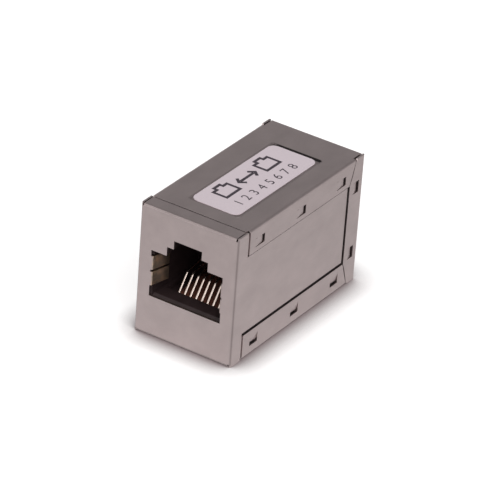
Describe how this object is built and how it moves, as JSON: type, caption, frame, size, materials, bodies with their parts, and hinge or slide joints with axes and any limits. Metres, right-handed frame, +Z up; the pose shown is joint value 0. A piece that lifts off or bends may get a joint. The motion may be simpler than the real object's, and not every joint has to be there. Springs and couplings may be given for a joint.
{
  "type": "rj45 inline coupler",
  "caption": "Shielded box-shaped cable coupler with a modular jack socket at each end, folded metal shells and a paper label on top.",
  "frame": {"origin": "centre of the footprint, on the surface that the bottom panel rests on", "axes": "+X across the coupler, to the right as seen from the front socket; +Y along it, from the front socket to the rear socket; +Z up, towards the label"},
  "size_m": [0.0172, 0.034, 0.0216],
  "materials": {
    "nickel_sheet": "satin nickel plating on thin steel sheet",
    "label_paper": "white coated paper",
    "black_moulding": "fine matt black moulding",
    "carrier_moulding": "matt black moulding",
    "board_laminate": "green solder mask on glass laminate",
    "contact_gilt": "bright gold plating"
  },
  "bodies": {
    "root": {"front_shell": "nickel_sheet", "rear_shell": "nickel_sheet", "label": "label_paper", "circuit_board": "board_laminate", "front_jack_housing": "black_moulding", "front_contact_carrier": "carrier_moulding", "front_contact_1": "contact_gilt", "front_contact_2": "contact_gilt", "front_contact_3": "contact_gilt", "front_contact_4": "contact_gilt", "front_contact_5": "contact_gilt", "front_contact_6": "contact_gilt", "front_contact_7": "contact_gilt", "front_contact_8": "contact_gilt", "rear_jack_housing": "black_moulding", "rear_contact_carrier": "carrier_moulding", "rear_contact_1": "contact_gilt", "rear_contact_2": "contact_gilt", "rear_contact_3": "contact_gilt", "rear_contact_4": "contact_gilt", "rear_contact_5": "contact_gilt", "rear_contact_6": "contact_gilt", "rear_contact_7": "contact_gilt", "rear_contact_8": "contact_gilt"}
  },
  "joints": []
}
